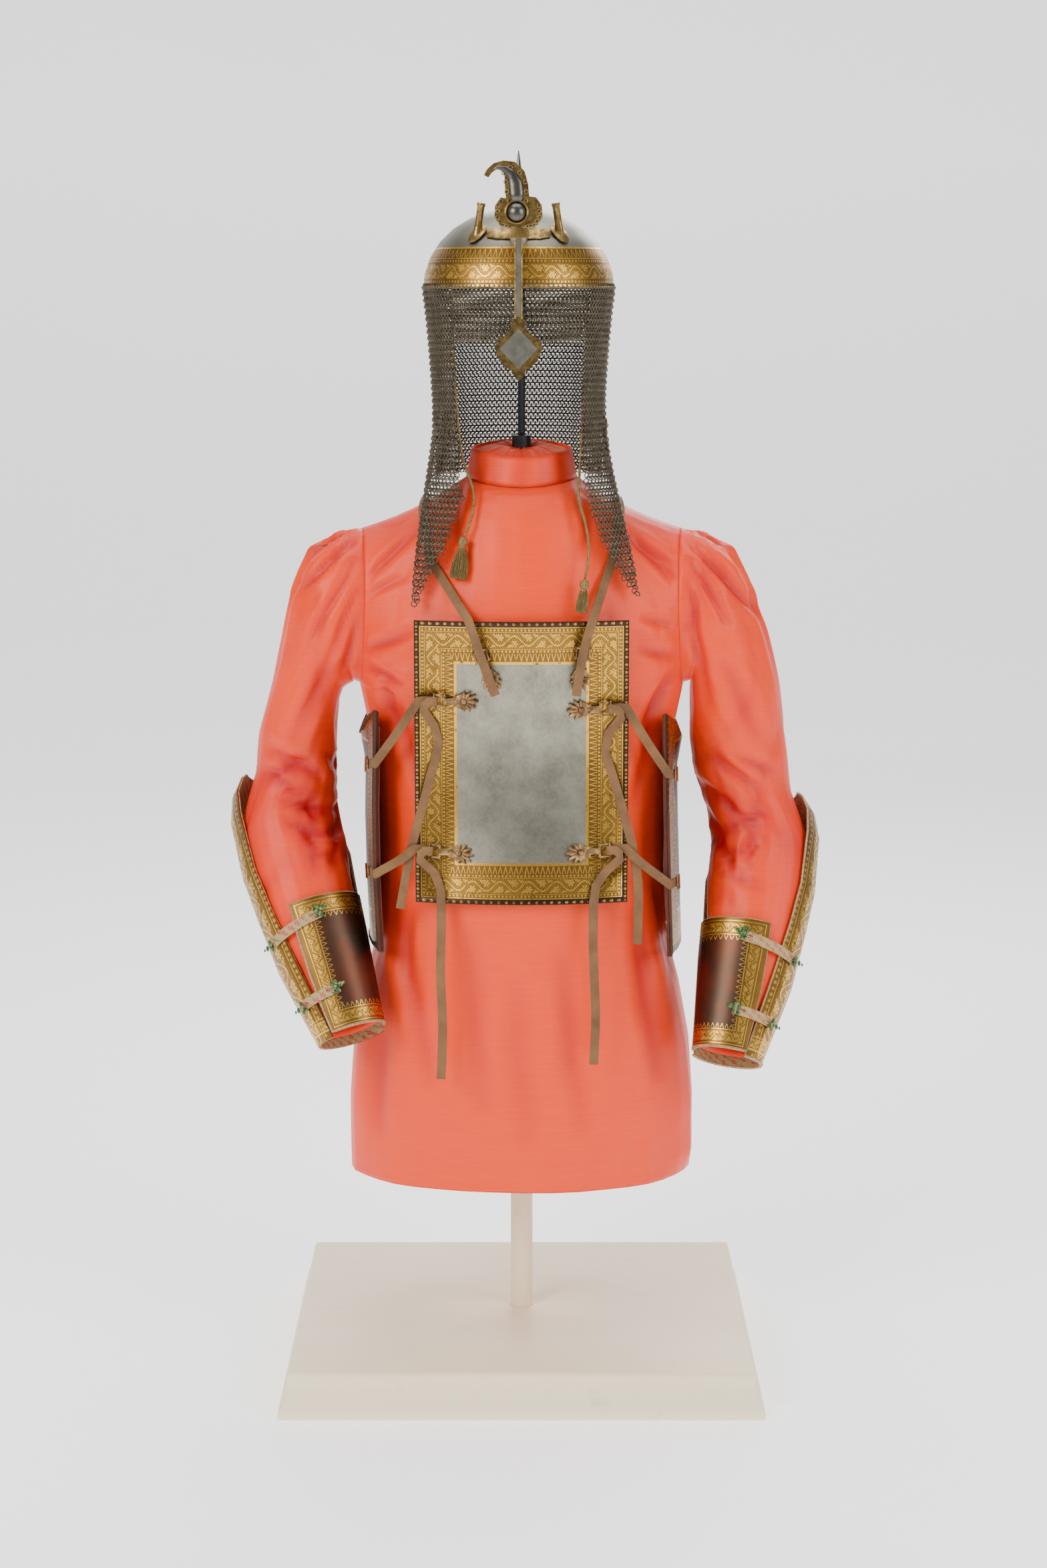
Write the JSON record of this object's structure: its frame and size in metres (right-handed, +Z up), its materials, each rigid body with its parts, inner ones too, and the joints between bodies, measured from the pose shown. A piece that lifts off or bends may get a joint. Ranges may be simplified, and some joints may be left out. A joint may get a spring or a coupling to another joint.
{
  "type": "suit of armour on a limbless torso stand",
  "caption": "Museum display of an Indo-Persian suit of armour: helmet with mail curtain, body plates strapped over a silk tunic, and arm guards, on a limbless torso stand.",
  "frame": {"origin": "middle of the stand base's underside, on the floor", "axes": "+Z up, the suit faces -Y, +X to the viewer's right"},
  "size_m": [0.6487, 0.424, 1.3275],
  "materials": {
    "cream_paint": "satin paint, slightly worn",
    "form_padding": "smooth calico over padding",
    "black_metal": "satin black",
    "orange_silk": "shot silk with a soft sheen",
    "grey_steel": "polished, with gold overlay in the dressed look",
    "gilt_steel": "gilt, worn",
    "mail_steel": "dark iron rings",
    "old_brass": "dull",
    "tan_leather": "suede",
    "red_leather": "matt",
    "brocade": "woven flowers on cream",
    "gold_thread": "braided thread"
  },
  "bodies": {
    "suit": {"stand_base": "cream_paint", "stand_post": "cream_paint", "torso_form": "form_padding", "neck_rod": "black_metal", "tunic_front": "orange_silk", "tunic_back": "orange_silk", "collar": "orange_silk", "collar_top": "orange_silk", "helmet_bowl": "grey_steel", "helmet_spike": "grey_steel", "nasal_bracket": "gilt_steel", "mail_brow": "mail_steel", "mail_back": "mail_steel", "front_plate": "grey_steel", "back_plate": "grey_steel", "sleeve_left": "orange_silk", "plume_holder_left": "gilt_steel", "mail_fall_left": "mail_steel", "tie_cord_left": "gold_thread", "tassel_left": "gold_thread", "side_plate_left": "grey_steel", "side_lining_left": "red_leather", "shoulder_strap_left": "tan_leather", "guard_outer_left": "grey_steel", "guard_lining_left": "brocade", "guard_inner_left": "grey_steel", "buckle_upper_left": "old_brass", "keeper_upper_left": "old_brass", "strap_upper_left": "tan_leather", "strap_back_upper_left": "tan_leather", "guard_strap_upper_left": "brocade", "buckle_lower_left": "old_brass", "keeper_lower_left": "old_brass", "strap_lower_left": "tan_leather", "strap_back_lower_left": "tan_leather", "guard_strap_lower_left": "brocade", "buckle_top_left": "old_brass", "sleeve_right": "orange_silk", "plume_holder_right": "gilt_steel", "mail_fall_right": "mail_steel", "tie_cord_right": "gold_thread", "tassel_right": "gold_thread", "side_plate_right": "grey_steel", "side_lining_right": "red_leather", "shoulder_strap_right": "tan_leather", "guard_outer_right": "grey_steel", "guard_lining_right": "brocade", "guard_inner_right": "grey_steel", "buckle_upper_right": "old_brass", "keeper_upper_right": "old_brass", "strap_upper_right": "tan_leather", "strap_back_upper_right": "tan_leather", "guard_strap_upper_right": "brocade", "buckle_lower_right": "old_brass", "keeper_lower_right": "old_brass", "strap_lower_right": "tan_leather", "strap_back_lower_right": "tan_leather", "guard_strap_lower_right": "brocade", "buckle_top_right": "old_brass"},
    "nasal": {"nasal": "gilt_steel"}
  },
  "joints": [
    {"name": "nasal_slide", "type": "slide", "parent": "suit", "child": "nasal", "axis": [0, 0.1191, 0.9929], "range_m": [0, 0.07]}
  ]
}
